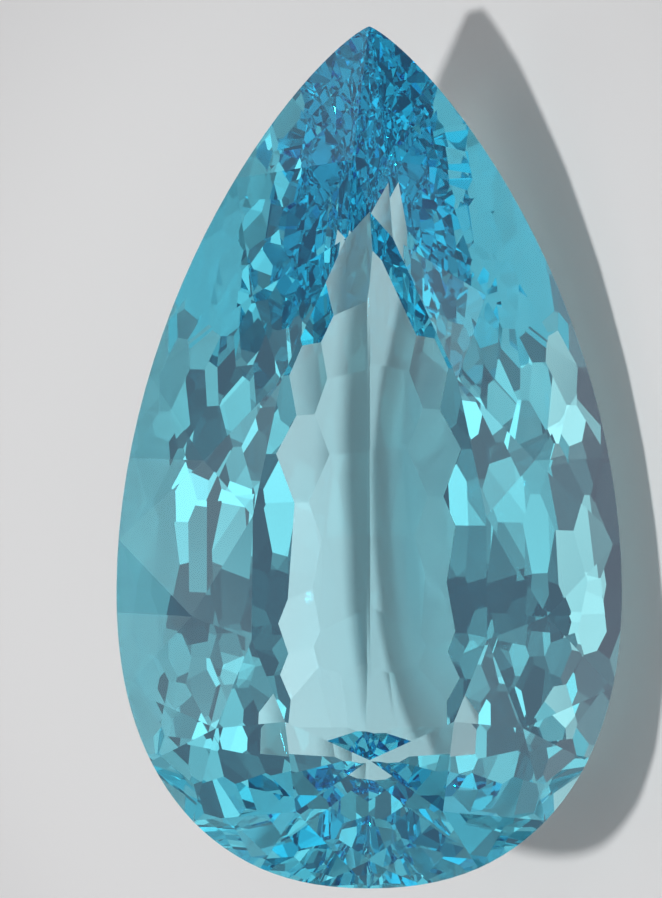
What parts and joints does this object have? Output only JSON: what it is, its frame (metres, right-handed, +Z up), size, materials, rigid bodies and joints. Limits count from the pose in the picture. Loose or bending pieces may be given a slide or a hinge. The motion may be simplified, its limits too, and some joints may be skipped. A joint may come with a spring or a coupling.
{
  "type": "pear-cut paraiba tourmaline",
  "caption": "Loose pear-cut gemstone, clear blue-green, with a small table, a brilliant crown and a deep pavilion of diamond-shaped facets in rows beside a keel.",
  "frame": {"origin": "on the surface that the stone lies on, below the middle of its bounding box", "axes": "+X along the stone towards its tip, +Y behind the stone, away from its table, +Z up from the facet that it lies on"},
  "size_m": [0.0144, 0.007, 0.0064],
  "materials": {
    "clear_tourmaline": "polished, see-through blue-green"
  },
  "bodies": {
    "root": {"tourmaline": "clear_tourmaline"}
  },
  "joints": []
}
